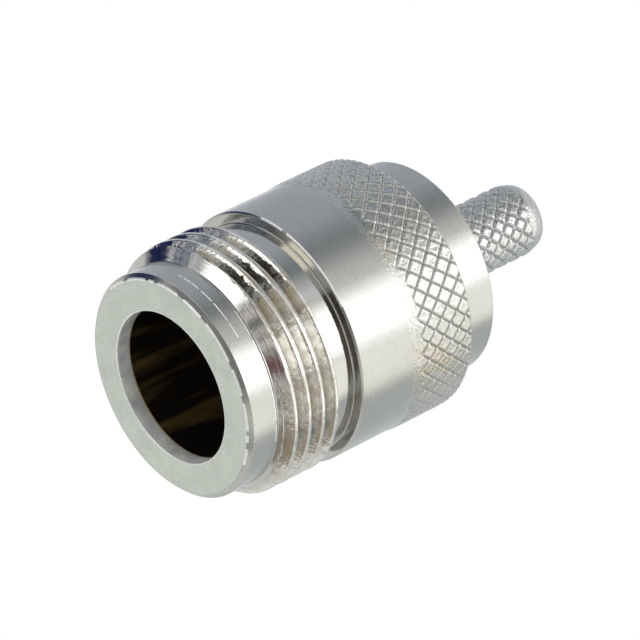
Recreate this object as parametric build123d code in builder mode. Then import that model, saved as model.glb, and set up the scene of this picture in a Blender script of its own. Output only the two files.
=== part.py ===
from build123d import *
import os
from math import ceil, tan, radians

# Coaxial jack for a crimped cable, standing on its mating face.
# The axis is +Z, the origin is the centre of the mating face, and lengths are in millimetres.

# Coupling thread, 5/8-24 unified
thread_major_radius = 15.875 / 2
thread_pitch = 25.4 / 24
thread_depth = 0.61
thread_root_flat = 0.14
thread_flank_angle = 30.0       # degrees between a flank and a plane across the axis
thread_length = 4.20
thread_lead_in = 0.50
thread_phase = 158.0            # degrees about the axis where the groove starts

# Outside of the shell
pilot_radius = 7.10
pilot_length = 2.20
pilot_chamfer = 0.28
neck_relief = 0.03              # the neck lies this much below the thread's root
neck_length = 1.55
barrel_radius = 8.00
barrel_length = 4.47
barrel_edge = 0.10
grip_height = 0.08              # the knurled band stands this much proud of the barrel
grip_length = 4.36
grip_bevel = 0.14

# Inside of the shell
mouth_radius = 4.80
mouth_length = 1.05
mouth_edge = 0.05
socket_relief = 0.20            # the socket is this much wider than its mouth
socket_depth = 9.30             # mating face to the seat of the outer conductor
seat_thickness = 1.20
air_line_radius = 3.50          # inside of the outer conductor
rear_bore_radius = 5.60
rear_bore_chamfer = 0.20

# Rear body: collar and crimp stem
collar_radius = 6.80
collar_length = 2.95
collar_edge = 0.12
spigot_chamfer = 0.30
stem_radius = 2.30
stem_length = 8.75
stem_nose_length = 1.10
stem_nose_drop = 0.20
stem_nose_round = 0.30
cable_bore_radius = 1.60
cable_bore_flare = 0.15

# Insulators
flange_thickness = 2.50
rear_insulator_length = 5.00
insulator_chamfer = 0.20

# Centre contact
contact_radius = 1.52
contact_reach = 4.70            # how far it stands out of the front insulator
contact_socket_radius = 0.83
contact_socket_depth = 5.20
contact_closing = 0.06          # the fingers are closed in by this much at the tip
contact_tip_chamfer = 0.18
finger_slot_width = 0.25
finger_slot_length = 4.10
finger_cuts = 2                 # saw cuts right across, so twice as many fingers
contact_flange_radius = 2.10
contact_flange_thickness = 1.00
wire_barrel_radius = 1.05
wire_barrel_length = 4.20
wire_bore_radius = 0.50
wire_bore_depth = 3.20
sight_hole_radius = 0.28
sight_hole_setback = 0.45       # from the blind end of the wire bore

fit_gap = 0.02                  # radial room between pieces that are pushed together

# Levels up the axis
thread_start = pilot_length
thread_end = thread_start + thread_length
shoulder_level = thread_end + neck_length
grip_start = shoulder_level + barrel_length
shell_length = grip_start + grip_length
flange_level = socket_depth + seat_thickness
spigot_level = flange_level + flange_thickness
stem_bore_level = spigot_level + rear_insulator_length
collar_end = shell_length + collar_length
stem_end = collar_end + stem_length
contact_tip = socket_depth - contact_reach
contact_flange_level = spigot_level - contact_flange_thickness
wire_barrel_end = spigot_level + wire_barrel_length
wire_bore_level = wire_barrel_end - wire_bore_depth

# Radii that follow from the ones above
grip_radius = barrel_radius + grip_height
socket_radius = mouth_radius + socket_relief
thread_root_radius = thread_major_radius - thread_depth
neck_radius = thread_root_radius - neck_relief
spigot_radius = rear_bore_radius - fit_gap
core_radius = air_line_radius - fit_gap

# Thread groove section, a little deeper than the thread so that it clears the crests
crest_clearance = 0.05
groove_rise = thread_depth + crest_clearance
groove_half_root = thread_root_flat / 2
groove_half_top = groove_half_root + groove_rise * tan(radians(thread_flank_angle))
groove_end = thread_end + neck_length / 2
groove_turns = ceil((groove_end - thread_start + groove_half_top) / thread_pitch)
groove_start = groove_end - groove_turns * thread_pitch

os.makedirs("parts", exist_ok=True)


# One turn of the thread groove, starting level with the origin
with BuildPart() as groove_turn:
    with BuildLine() as groove_path:
        Helix(thread_pitch, thread_pitch, thread_root_radius)
    with BuildSketch(Plane((thread_root_radius, 0, 0), x_dir=(1, 0, 0), z_dir=(0, -1, 0))):
        with BuildLine():
            Polyline(
                (0, -groove_half_root),
                (groove_rise, -groove_half_top),
                (groove_rise, groove_half_top),
                (0, groove_half_root),
                close=True,
            )
        make_face()
    sweep(path=groove_path.line, is_frenet=True)

# Shell: one turned piece with pilot, thread, neck, barrel and grip band
with BuildPart() as shell:
    with BuildSketch(Plane.XZ):
        with BuildLine():
            Polyline(
                (mouth_radius + mouth_edge, 0),
                (pilot_radius - pilot_chamfer, 0),
                (pilot_radius, pilot_chamfer),
                (pilot_radius, thread_start),
                (thread_major_radius, thread_start + thread_lead_in),
                (thread_major_radius, thread_end),
                (neck_radius, thread_end),
                (neck_radius, shoulder_level),
                (barrel_radius - barrel_edge, shoulder_level),
                (barrel_radius, shoulder_level + barrel_edge),
                (barrel_radius, grip_start),
                (grip_radius, grip_start + grip_height),
                (grip_radius, shell_length - grip_bevel),
                (grip_radius - grip_bevel, shell_length),
                (rear_bore_radius + rear_bore_chamfer, shell_length),
                (rear_bore_radius, shell_length - rear_bore_chamfer),
                (rear_bore_radius, flange_level),
                (air_line_radius, flange_level),
                (air_line_radius, socket_depth),
                (socket_radius, socket_depth),
                (socket_radius, mouth_length),
                (mouth_radius, mouth_length),
                (mouth_radius, mouth_edge),
                close=True,
            )
        make_face()
    revolve(axis=Axis.Z)

    # The groove runs in over the pilot and out into the neck, cut one turn at a time
    for turn in range(groove_turns):
        with Locations(Location((0, 0, groove_start + turn * thread_pitch), (0, 0, thread_phase))):
            add(groove_turn.part, mode=Mode.SUBTRACT)

# Rear body: spigot pushed into the shell, collar, and hollow stem that the braid is crimped on
with BuildPart() as rear_body:
    with BuildSketch(Plane.XZ):
        with BuildLine():
            Polyline(
                (air_line_radius, spigot_level),
                (spigot_radius - spigot_chamfer, spigot_level),
                (spigot_radius, spigot_level + spigot_chamfer),
                (spigot_radius, shell_length),
                (collar_radius, shell_length),
                (collar_radius, collar_end - collar_edge),
                (collar_radius - collar_edge, collar_end),
                (stem_radius, collar_end),
                (stem_radius, stem_end - stem_nose_length),
                (stem_radius - stem_nose_drop, stem_end - stem_nose_round),
                (stem_radius - stem_nose_drop - stem_nose_round, stem_end),
                (cable_bore_radius + cable_bore_flare, stem_end),
                (cable_bore_radius, stem_end - cable_bore_flare),
                (cable_bore_radius, stem_bore_level),
                (air_line_radius, stem_bore_level),
                close=True,
            )
        make_face()
    revolve(axis=Axis.Z)

# Front insulator: nose level with the conductor seat, flange clamped behind it
with BuildPart() as front_insulator:
    with BuildSketch(Plane.XZ):
        with BuildLine():
            Polyline(
                (contact_radius + fit_gap, socket_depth),
                (core_radius - insulator_chamfer, socket_depth),
                (core_radius, socket_depth + insulator_chamfer),
                (core_radius, flange_level),
                (spigot_radius, flange_level),
                (spigot_radius, spigot_level),
                (contact_flange_radius + fit_gap, spigot_level),
                (contact_flange_radius + fit_gap, contact_flange_level),
                (contact_radius + fit_gap, contact_flange_level),
                close=True,
            )
        make_face()
    revolve(axis=Axis.Z)

# Rear insulator: plain bush that holds the contact's flange in the front one
with BuildPart() as rear_insulator:
    with BuildSketch(Plane.XZ):
        with BuildLine():
            Polyline(
                (wire_barrel_radius + fit_gap, spigot_level),
                (core_radius - insulator_chamfer, spigot_level),
                (core_radius, spigot_level + insulator_chamfer),
                (core_radius, stem_bore_level),
                (wire_barrel_radius + fit_gap, stem_bore_level),
                close=True,
            )
        make_face()
    revolve(axis=Axis.Z)

# Centre contact: slotted socket in front, flange, and barrel for the wire behind
with BuildPart() as centre_contact:
    with BuildSketch(Plane.XZ):
        with BuildLine():
            Polyline(
                (0, contact_tip + contact_socket_depth),
                (contact_socket_radius, contact_tip + contact_socket_depth),
                (contact_socket_radius, contact_tip + contact_tip_chamfer),
                (contact_socket_radius + contact_tip_chamfer, contact_tip),
                (contact_radius - contact_closing - contact_tip_chamfer, contact_tip),
                (contact_radius - contact_closing, contact_tip + contact_tip_chamfer),
                (contact_radius, contact_tip + finger_slot_length),
                (contact_radius, contact_flange_level),
                (contact_flange_radius, contact_flange_level),
                (contact_flange_radius, spigot_level),
                (wire_barrel_radius, spigot_level),
                (wire_barrel_radius, wire_barrel_end),
                (wire_bore_radius, wire_barrel_end),
                (wire_bore_radius, wire_bore_level),
                (0, wire_bore_level),
                close=True,
            )
        make_face()
    revolve(axis=Axis.Z)
    with BuildSketch(Plane.XY.offset(contact_tip)):
        with PolarLocations(0, finger_cuts, angular_range=180):
            Rectangle(2 * contact_radius + fit_gap, finger_slot_width)
    extrude(amount=finger_slot_length, mode=Mode.SUBTRACT)
    with BuildSketch(Plane.YZ):
        with Locations((0, wire_bore_level + sight_hole_setback)):
            Circle(sight_hole_radius)
    extrude(amount=wire_barrel_radius, mode=Mode.SUBTRACT)

pieces = {
    "shell": shell,
    "rear_body": rear_body,
    "front_insulator": front_insulator,
    "rear_insulator": rear_insulator,
    "centre_contact": centre_contact,
}
for name, piece in pieces.items():
    piece.part.label = name
    export_step(piece.part, f"parts/{name}.step")
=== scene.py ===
import logging
from collections.abc import Callable
from dataclasses import dataclass, field
from enum import IntEnum
from math import acos, ceil, cos, pi, radians, sin, tan, tau

import bpy
import numpy as np
from mathutils import Matrix, Vector


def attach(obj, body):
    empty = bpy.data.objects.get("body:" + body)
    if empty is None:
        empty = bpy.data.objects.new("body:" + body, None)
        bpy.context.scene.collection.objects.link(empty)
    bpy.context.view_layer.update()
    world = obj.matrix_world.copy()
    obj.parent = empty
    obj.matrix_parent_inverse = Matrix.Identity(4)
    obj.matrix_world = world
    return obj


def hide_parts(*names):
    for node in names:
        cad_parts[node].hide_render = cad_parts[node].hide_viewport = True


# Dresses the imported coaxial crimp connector: plated shell, knurled rear body, insulators, contact.
# The row frame has its origin at the centre of the mating face, and +Z runs up to the crimp stem.
# Sizes in the classes are millimetres, and meshes are metres.

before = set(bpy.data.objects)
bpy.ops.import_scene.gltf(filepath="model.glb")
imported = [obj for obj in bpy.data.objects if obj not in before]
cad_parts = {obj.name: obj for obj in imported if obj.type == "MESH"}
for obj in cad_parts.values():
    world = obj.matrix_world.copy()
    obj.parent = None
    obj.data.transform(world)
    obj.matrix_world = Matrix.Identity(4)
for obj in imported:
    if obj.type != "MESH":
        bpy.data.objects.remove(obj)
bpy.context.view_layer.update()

MM = 0.001
BODY = "root"
LOG = logging.getLogger("connector")

ARC_STEPS = 3  # chords of a rounded corner
LEDGE = 0.03  # from an arc to the point that keeps the flat beside it shaded flat
ARC_ROOM, LEDGE_ROOM = 0.4, 0.3  # shares of the shorter side that they take at most
STRAIGHT = radians(2)  # a corner that turns by less than twice this stays as it is
POINT_DECIMALS = 5  # points that are equal to this many decimals are one


class Finish(IntEnum):
    """Material slots of the turned pieces, in the order in which they are given to the mesh."""

    BARREL = 0
    FACE = 1
    KNURL = 2
    THREAD = 3
    EDGE = 4
    BORE = 5
    LIP = 6
    RIM = 7
    FINE = 8


def linear(code: str) -> tuple[float, float, float, float]:
    """Turns an sRGB hex code into linear RGBA.

    In words: a channel up to 0.04045 is divided by 12.92, and a higher one, plus 0.055 and divided
    by 1.055, is raised to the power of 2.4.

    Args:
        code: six hex digits after a number sign.

    Returns:
        Red, green, blue, and an alpha of 1.
    """
    channels = [int(code[i : i + 2], 16) / 255 for i in (1, 3, 5)]
    red, green, blue = [c / 12.92 if c <= 0.04045 else ((c + 0.055) / 1.055) ** 2.4 for c in channels]
    return (red, green, blue, 1.0)


def add_node(
    tree: bpy.types.NodeTree, kind: str, inputs: dict[str | int, object] | None = None, **settings: object
) -> bpy.types.Node:
    """Adds one node with its settings, input values and links.

    Args:
        tree: the node tree.
        kind: the node's class name.
        inputs: name or number of each input, with its value or the output that feeds it.
        **settings: attributes of the node.

    Returns:
        The new node.
    """
    node = tree.nodes.new(kind)
    for name, value in settings.items():
        setattr(node, name, value)
    for key, value in (inputs or {}).items():
        if isinstance(value, bpy.types.NodeSocket):
            tree.links.new(value, node.inputs[key])
        else:
            node.inputs[key].default_value = value
    return node


def soften(corners: list[tuple[float, ...]], arc_steps: int = ARC_STEPS, ledge: float = LEDGE) -> np.ndarray:
    """Rounds the corners of an open outline.

    In words: the arc's centre lies on the bisector, its points stand at equal angles between the
    two places where the circle touches the sides, and one more point on each side, a ledge away,
    keeps the flat beside the arc shaded flat.

    Args:
        corners: radius, height and, where the corner is rounded, the rounding radius.
        arc_steps: how many chords an arc has.
        ledge: how far out the extra points stand.

    Returns:
        The outline's points, one row of radius and height each.
    """
    spots = [np.array(c[:2], float) for c in corners]
    points = [spots[0]]
    for i in range(1, len(corners) - 1):
        rounding = corners[i][2] if len(corners[i]) > 2 else 0.0
        back, ahead = spots[i - 1] - spots[i], spots[i + 1] - spots[i]
        room = min(np.linalg.norm(back), np.linalg.norm(ahead))
        back, ahead = back / np.linalg.norm(back), ahead / np.linalg.norm(ahead)
        half = acos(float(np.clip(back @ ahead, -1, 1))) / 2
        if rounding == 0 or pi / 2 - half < STRAIGHT:
            points.append(spots[i])
            continue
        touch = min(rounding / tan(half), ARC_ROOM * room)
        radius = touch * tan(half)
        bisector = (back + ahead) / np.linalg.norm(back + ahead)
        centre = spots[i] + bisector * radius / sin(half)
        start, end = spots[i] + back * touch - centre, spots[i] + ahead * touch - centre
        turn = pi - 2 * half
        share = np.linspace(0, 1, arc_steps + 1)[:, None]
        arc = (np.sin((1 - share) * turn) * start + np.sin(share * turn) * end) / sin(turn)
        out = min(ledge, LEDGE_ROOM * room)
        points += [spots[i] + back * (touch + out), *(centre + arc), spots[i] + ahead * (touch + out)]
    return np.array(points + spots[1:][-1:])


def smooth_step(value: np.ndarray, low: float, high: float) -> np.ndarray:
    """Rises from 0 at low to 1 at high: three times the square of the share less twice its cube."""
    share = np.clip((value - low) / (high - low), 0, 1)
    return share * share * (3 - 2 * share)


@dataclass
class Skin:
    """Rings of points round +Z, joined into one closed surface.

    The section is walked with the outside going up and the bore going down, so that the face
    (point, next point round, next point of the next ring, point of the next ring) looks outwards.
    """

    columns: int
    points: list[np.ndarray] = field(default_factory=list)
    marks: list[np.ndarray] = field(default_factory=list)
    faces: list[np.ndarray] = field(default_factory=list)
    finishes: list[np.ndarray] = field(default_factory=list)
    first: np.ndarray | None = None
    last: np.ndarray | None = None
    size: int = 0

    def angles(self) -> np.ndarray:
        """Even angles of one ring, as one row."""
        return (np.arange(self.columns) * tau / self.columns)[None, :]

    def lay(self, radius: np.ndarray, height: np.ndarray, angle: np.ndarray, mark: np.ndarray) -> np.ndarray:
        """Adds a grid of points: radius times cosine and sine of the angle, and the height.

        Args:
            radius: distance from the axis, broadcast to rows by columns as the others are.
            height: level along the axis.
            angle: angle about the axis.
            mark: depth of a cut, from 0 on the outside to 1 at its bottom.

        Returns:
            The points' numbers, as a grid.
        """
        radius, height, angle, mark = np.broadcast_arrays(radius, height, angle, mark)
        grid = np.stack([radius * np.cos(angle), radius * np.sin(angle), height], axis=-1)
        numbers = self.size + np.arange(radius.size).reshape(radius.shape)
        self.points.append(grid.reshape(-1, 3))
        self.marks.append(mark.reshape(-1).astype(float))
        self.size += radius.size
        return numbers

    def cover(self, faces: np.ndarray, finish: int) -> None:
        """Adds faces.

        Args:
            faces: numbers of their corners, along the last axis.
            finish: material slot.
        """
        faces = faces.reshape(-1, faces.shape[-1])
        self.faces.append(faces)
        self.finishes.append(np.full(len(faces), finish))

    def sleeve(
        self,
        rows: np.ndarray,
        finish: int,
        part: np.ndarray | None = None,
        part_finish: int = Finish.RIM,
        climb: int = 0,
    ) -> None:
        """Covers the room between neighbouring rows of a grid that is closed round the axis.

        Args:
            rows: numbers of the grid's points.
            finish: material slot.
            part: whether each face, or each column of them, has another finish.
            part_finish: that finish.
            climb: how many rows a helical grid rises by in one turn.
        """
        after = np.roll(rows, -1, 1)
        if climb:
            after[:-climb, -1] = rows[climb:, 0]
            after[-climb:, -1] = rows[-1, 0]
        faces = np.stack([rows[:-1], after[:-1], after[1:], rows[1:]], axis=-1)
        part = np.broadcast_to(False if part is None else part, faces.shape[:2])
        self.cover(faces[part], part_finish)
        self.cover(faces[~part], finish)

    def bridge(self, low: np.ndarray, high: np.ndarray, finish: int) -> None:
        """Joins two rings. One may have twice as many points as the other.

        Args:
            low: numbers of the first ring.
            high: numbers of the ring after it.
            finish: material slot of the faces.
        """
        if len(low) == len(high):
            self.sleeve(np.stack([low, high]), finish)
        elif len(low) < len(high):
            even, odd = high[::2], high[1::2]
            after, even_after = np.roll(low, -1), np.roll(even, -1)
            self.cover(np.stack([low, odd, even], axis=-1), finish)
            self.cover(np.stack([low, after, odd], axis=-1), finish)
            self.cover(np.stack([after, even_after, odd], axis=-1), finish)
        else:
            even, odd = low[::2], low[1::2]
            after, even_after = np.roll(high, -1), np.roll(even, -1)
            self.cover(np.stack([even, odd, high], axis=-1), finish)
            self.cover(np.stack([odd, after, high], axis=-1), finish)
            self.cover(np.stack([odd, even_after, after], axis=-1), finish)

    def attach(self, rows: np.ndarray, finish: int) -> None:
        """Joins a grid's first row to the last ring, and makes its last row the last ring.

        Args:
            rows: numbers of the grid's points.
            finish: material slot of the faces between.
        """
        if self.last is None:
            self.first = rows[0]
        else:
            self.bridge(self.last, rows[0], finish)
        self.last = rows[-1]

    def turn(
        self,
        corners: list[tuple[float, ...]],
        finish: int,
        glinting: np.ndarray | None = None,
        arc_steps: int = ARC_STEPS,
    ) -> None:
        """Rounds an outline's corners and carries it round the axis, after the last ring.

        Args:
            corners: radius, height and, where the corner is rounded, the rounding radius.
            finish: material slot.
            glinting: whether each column has the painted highlight's finish instead.
            arc_steps: how many chords a rounded corner has.
        """
        outline = soften(corners, arc_steps)
        rows = self.lay(outline[:, :1], outline[:, 1:], self.angles(), np.zeros((1, 1)))
        self.attach(rows, finish)
        self.sleeve(rows, finish, glinting)

    def close(
        self, name: str, materials: list[bpy.types.Material], sharp_degrees: float = 34
    ) -> bpy.types.Object:
        """Joins the last ring to the first, merges equal points and makes the object.

        Args:
            name: the piece's name.
            materials: its materials, in slot order.
            sharp_degrees: edges that turn more than this stay sharp.

        Returns:
            The object, linked to the scene, with the cut depth as a point attribute.
        """
        if self.first is not None:
            self.bridge(self.last, self.first, int(self.finishes[-1][0]))
        points = np.round(np.concatenate(self.points), POINT_DECIMALS)
        points, kept, numbers = np.unique(points, axis=0, return_index=True, return_inverse=True)
        marks = np.concatenate(self.marks)[kept]
        loops, sizes, slots = [], [], []
        for faces, finishes in zip(self.faces, self.finishes):
            corners = numbers.reshape(-1)[faces]
            repeated = corners == np.roll(corners, -1, axis=1)
            whole = ~repeated.any(axis=1)
            loops.append(corners[whole].reshape(-1))
            sizes.append(np.full(whole.sum(), faces.shape[1]))
            slots.append(finishes[whole])
            cut = repeated.sum(axis=1) == 1
            if faces.shape[1] == 4 and cut.any():
                loops.append(corners[cut][~repeated[cut]])
                sizes.append(np.full(cut.sum(), 3))
                slots.append(finishes[cut])
        loops, sizes, slots = (np.concatenate(part).astype(np.int32) for part in (loops, sizes, slots))
        starts = np.concatenate([[0], np.cumsum(sizes)[:-1]]).astype(np.int32)
        mesh = bpy.data.meshes.new(name)
        mesh.vertices.add(len(points))
        mesh.vertices.foreach_set("co", (points * MM).astype(np.float32).ravel())
        mesh.loops.add(len(loops))
        mesh.loops.foreach_set("vertex_index", loops)
        mesh.polygons.add(len(sizes))
        mesh.polygons.foreach_set("loop_start", starts)
        mesh.polygons.foreach_set("material_index", slots)
        mesh.polygons.foreach_set("use_smooth", np.ones(len(sizes), bool))
        mesh.update(calc_edges=True)
        mesh.validate()
        cut_depth = mesh.attributes.new("cut_depth", "FLOAT", "POINT")
        cut_depth.data.foreach_set("value", marks.astype(np.float32))
        mesh.set_sharp_from_angle(angle=radians(sharp_degrees))
        for material in materials:
            mesh.materials.append(material)
        piece = bpy.data.objects.new(name, mesh)
        bpy.context.scene.collection.objects.link(piece)
        return piece


@dataclass(frozen=True)
class DiamondKnurl:
    """Two sets of helical V grooves that cross and leave diamonds."""

    starts: int
    axial_pitch: float
    depth: float
    half_width: float  # of a groove at the surface, as a share of the pitch
    dish: float = 0.0  # how far a diamond's middle lies below its rolled-up edges
    ragged: float = 0.0  # how much earlier or later one groove fades in than the next
    beats: tuple[float, float] = (3.7, 5.3)  # how fast that changes from groove to groove, each way
    dish_span: tuple[float, float] = (0.2, 0.9)  # towards a diamond's middle, where it begins and is full
    cells: int = 12  # steps of the lattice across one diamond

    def weave(
        self,
        skin: Skin,
        low: float,
        high: float,
        envelope: Callable[[np.ndarray], np.ndarray],
        fade: Callable[[np.ndarray], np.ndarray],
    ) -> None:
        """Lays a lattice whose edges run along both sets of grooves.

        In words: every other row stands half a step round. With u and w the angle in diamonds plus
        and minus the height in pitches, the cut is the deeper of two V grooves at the whole
        numbers of u and of w, times the fade, and the radius is the envelope less the cut and the
        dish. A groove's number shifts its fade by a sine of it.

        Args:
            skin: the surface that gets the lattice.
            low: level where the lattice begins, at the latest.
            high: level where it ends.
            envelope: radius over the diamonds' edges as a function of the height.
            fade: share of the full depth as a function of the height.
        """
        step = self.axial_pitch / (2 * self.cells)
        count = 2 * ceil((high - low) / (2 * step))
        row = np.arange(count + 1)[:, None]
        height = high - (count - row) * step
        turns = (np.arange(self.starts * self.cells)[None, :] + (row % 2) / 2) / self.cells
        u, w = turns + row / (2 * self.cells), turns - row / (2 * self.cells)
        whole_u, whole_w = np.round(u) % self.starts, np.round(w) % self.starts
        away_u, away_w = np.abs(u - np.round(u)), np.abs(w - np.round(w))
        shift = np.sin(self.beats[0] * whole_u) + np.sin(self.beats[1] * whole_w)
        depth_share = fade(height + self.ragged * shift)
        cut = np.maximum(1 - np.minimum(away_u, away_w) / self.half_width, 0) * depth_share
        middle = (1 - np.maximum(np.abs(0.5 - away_u), np.abs(0.5 - away_w)) * 2) * depth_share
        radius = envelope(height) - self.depth * cut - self.dish * smooth_step(middle, *self.dish_span)
        rows = skin.lay(radius, height, turns * tau / self.starts, cut)
        skin.attach(rows, Finish.KNURL)
        before, here = np.arange(-1, rows.shape[1] - 1), np.arange(rows.shape[1])
        after = np.roll(here, -1)
        for parity, left, right in ((0, before, here), (1, here, after)):
            base = rows[parity:-2:2]
            middle = rows[parity + 1 : -1 : 2][: len(base)]
            top = rows[parity + 2 :: 2][: len(base)]
            skin.cover(np.stack([base, middle[:, right], top, middle[:, left]], axis=-1), Finish.KNURL)
        skin.cover(np.stack([rows[0], rows[0][after], rows[1]], axis=-1), Finish.KNURL)
        skin.cover(np.stack([rows[-2], rows[-1][after], rows[-1]], axis=-1), Finish.KNURL)


@dataclass(frozen=True)
class CouplingThread:
    """Right-handed external thread with a 60 degree groove, run in over a lead-in cone."""

    major_radius: float = 15.875 / 2
    pitch: float = 25.4 / 24
    depth: float = 0.61
    root_flat: float = 0.14
    flank_degrees: float = 30.0
    phase_degrees: float = 158.0
    groove_origin: float = 0.825  # level of a groove's middle at the phase angle
    crest_round: float = 0.09
    crest_waver: float = 0.012  # how much the crests are worn and wavy
    crest_beats: tuple[int, int] = (23, 61)  # waves of that in one turn
    root_round: float = 0.05
    lead_in: float = 0.50
    arc_steps: int = 2
    ledge: float = 0.02

    def form(self) -> np.ndarray:
        """Outline of one pitch, from the middle of one groove to the middle of the next.

        Returns:
            Distance along the axis and radius, one row each.
        """
        root = self.major_radius - self.depth
        half_root = self.root_flat / 2
        half_top = half_root + self.depth * tan(radians(self.flank_degrees))
        flank = half_top - half_root
        up = [(half_root + flank * share, root + self.depth * share) for share in (0, 0.5, 1)]
        down = [(self.pitch - along, radius) for along, radius in reversed(up)]
        up[0], up[-1] = (*up[0], self.root_round), (*up[-1], self.crest_round)
        down[0], down[-1] = (*down[0], self.crest_round), (*down[-1], self.root_round)
        return soften([(0, root), *up, *down, (self.pitch, root)], self.arc_steps, self.ledge)

    def cut(self, skin: Skin, low: float, high: float, low_radius: float) -> None:
        """Lays the threaded length, with rows that climb with the helix.

        In words: each row's height is its place in the form plus the pitch times the angle in turns,
        kept between the two ends, and the radius is the form's at that height or the lead-in
        cone's where that is smaller. The crests lose a little more where two sines of the angle
        are large. Where a turn closes, each row meets the one a pitch higher.

        Args:
            skin: the surface that gets the thread.
            low: level where the lead-in cone begins.
            high: level where the thread ends.
            low_radius: the cone's radius there.
        """
        form = self.form()
        climb = len(form) - 1
        first = int(np.floor((low - self.groove_origin) / self.pitch)) - 1
        last = int(ceil((high - self.groove_origin) / self.pitch)) + 2
        turns = np.arange(first, last)[:, None]
        rows = (self.groove_origin + turns * self.pitch + form[:-1, 0]).reshape(-1, 1)
        around = (skin.angles() - radians(self.phase_degrees)) / tau
        level = rows + self.pitch * around
        edge = np.flatnonzero(((level > low) & (level < high)).any(axis=1))
        level = np.clip(level[max(edge[0] - 1, 0) : edge[-1] + 2], low, high)
        level[: climb + 1, 0] = low
        level[-climb - 1 :, -1] = high
        place = np.mod(level - self.groove_origin - self.pitch * around, self.pitch)
        radius = np.interp(place, form[:, 0], form[:, 1])
        waver = self.crest_waver * sum(np.sin(beat * skin.angles()) for beat in self.crest_beats) / 2
        radius = radius - np.abs(waver) * (radius - self.major_radius + self.depth) / self.depth
        cone = low_radius + (self.major_radius - low_radius) * (level - low) / self.lead_in
        mark = (self.major_radius - radius) / self.depth
        rows = skin.lay(np.minimum(radius, cone), level, skin.angles(), mark)
        skin.attach(rows, Finish.THREAD)
        on_cone = (cone < radius) & (level < low + self.lead_in)
        skin.sleeve(rows, Finish.THREAD, on_cone[1:], Finish.FINE, climb)


def clouds(
    tree: bpy.types.NodeTree,
    vector: bpy.types.NodeSocket,
    size_mm: float,
    detail: float,
    limits: tuple[float, float],
    share: float,
    below: bpy.types.NodeSocket | tuple[float, ...],
    above: str,
) -> bpy.types.NodeSocket:
    """Lays clouds of one colour over another.

    In words: as noise of the given size rises from the first limit to the second, the share of the
    upper colour rises from none to its most.

    Args:
        tree: the node tree.
        vector: millimetre coordinates.
        size_mm: how far apart the clouds are.
        detail: how ragged they are.
        limits: the noise's values where the upper colour begins and where it has its most.
        share: that most.
        below: the lower colour, linear, or the output that gives it.
        above: the upper colour's hex code.

    Returns:
        The clouded colour.
    """
    noise = add_node(tree, "ShaderNodeTexNoise", {"Vector": vector, "Scale": 1 / size_mm, "Detail": detail})
    rise = {"Value": noise.outputs["Fac"], "From Min": limits[0], "From Max": limits[1], "To Max": share}
    cover = add_node(tree, "ShaderNodeMapRange", rise)
    colours = {0: cover.outputs[0], 6: below, 7: linear(above)}
    return add_node(tree, "ShaderNodeMix", colours, data_type="RGBA").outputs[2]


def piece_coordinates(tree: bpy.types.NodeTree) -> tuple[bpy.types.NodeSocket, bpy.types.NodeSocket]:
    """Millimetre coordinates of the piece.

    In words: the second vector has a small share of x and y, and as its height the distance from
    the axis plus the height, which grows along any turned outline. Noise on it runs in long
    broken lines round the axis, as a lathe tool leaves them.

    Args:
        tree: the material's node tree.

    Returns:
        The point itself, and the lathe vector.
    """
    draw = 0.06  # how little the noise changes round the axis
    place = add_node(tree, "ShaderNodeTexCoord")
    metres = {0: place.outputs["Object"], "Scale": 1 / MM}
    point = add_node(tree, "ShaderNodeVectorMath", metres, operation="SCALE")
    flat = {0: point.outputs[0], 1: (1, 1, 0)}
    across = add_node(tree, "ShaderNodeVectorMath", flat, operation="MULTIPLY")
    radius = add_node(tree, "ShaderNodeVectorMath", {0: across.outputs[0]}, operation="LENGTH")
    parts = add_node(tree, "ShaderNodeSeparateXYZ", {0: point.outputs[0]})
    both = {0: radius.outputs["Value"], 1: parts.outputs["Z"]}
    along = add_node(tree, "ShaderNodeMath", both, operation="ADD")
    drawn = {0: across.outputs[0], "Scale": draw}
    shrunk = add_node(tree, "ShaderNodeVectorMath", drawn, operation="SCALE")
    raised = add_node(tree, "ShaderNodeCombineXYZ", {"Z": along.outputs[0]})
    summed = {0: shrunk.outputs[0], 1: raised.outputs[0]}
    lathe = add_node(tree, "ShaderNodeVectorMath", summed, operation="ADD")
    return point.outputs[0], lathe.outputs[0]


def blank_material(name: str) -> tuple[bpy.types.Material, bpy.types.NodeTree, bpy.types.Node]:
    """Makes a material with only a Principled shader.

    Args:
        name: the material's name.

    Returns:
        The material, its node tree and the shader.
    """
    material = bpy.data.materials.new(name)
    material.use_nodes = True
    tree = material.node_tree
    return material, tree, tree.nodes["Principled BSDF"]


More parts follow.
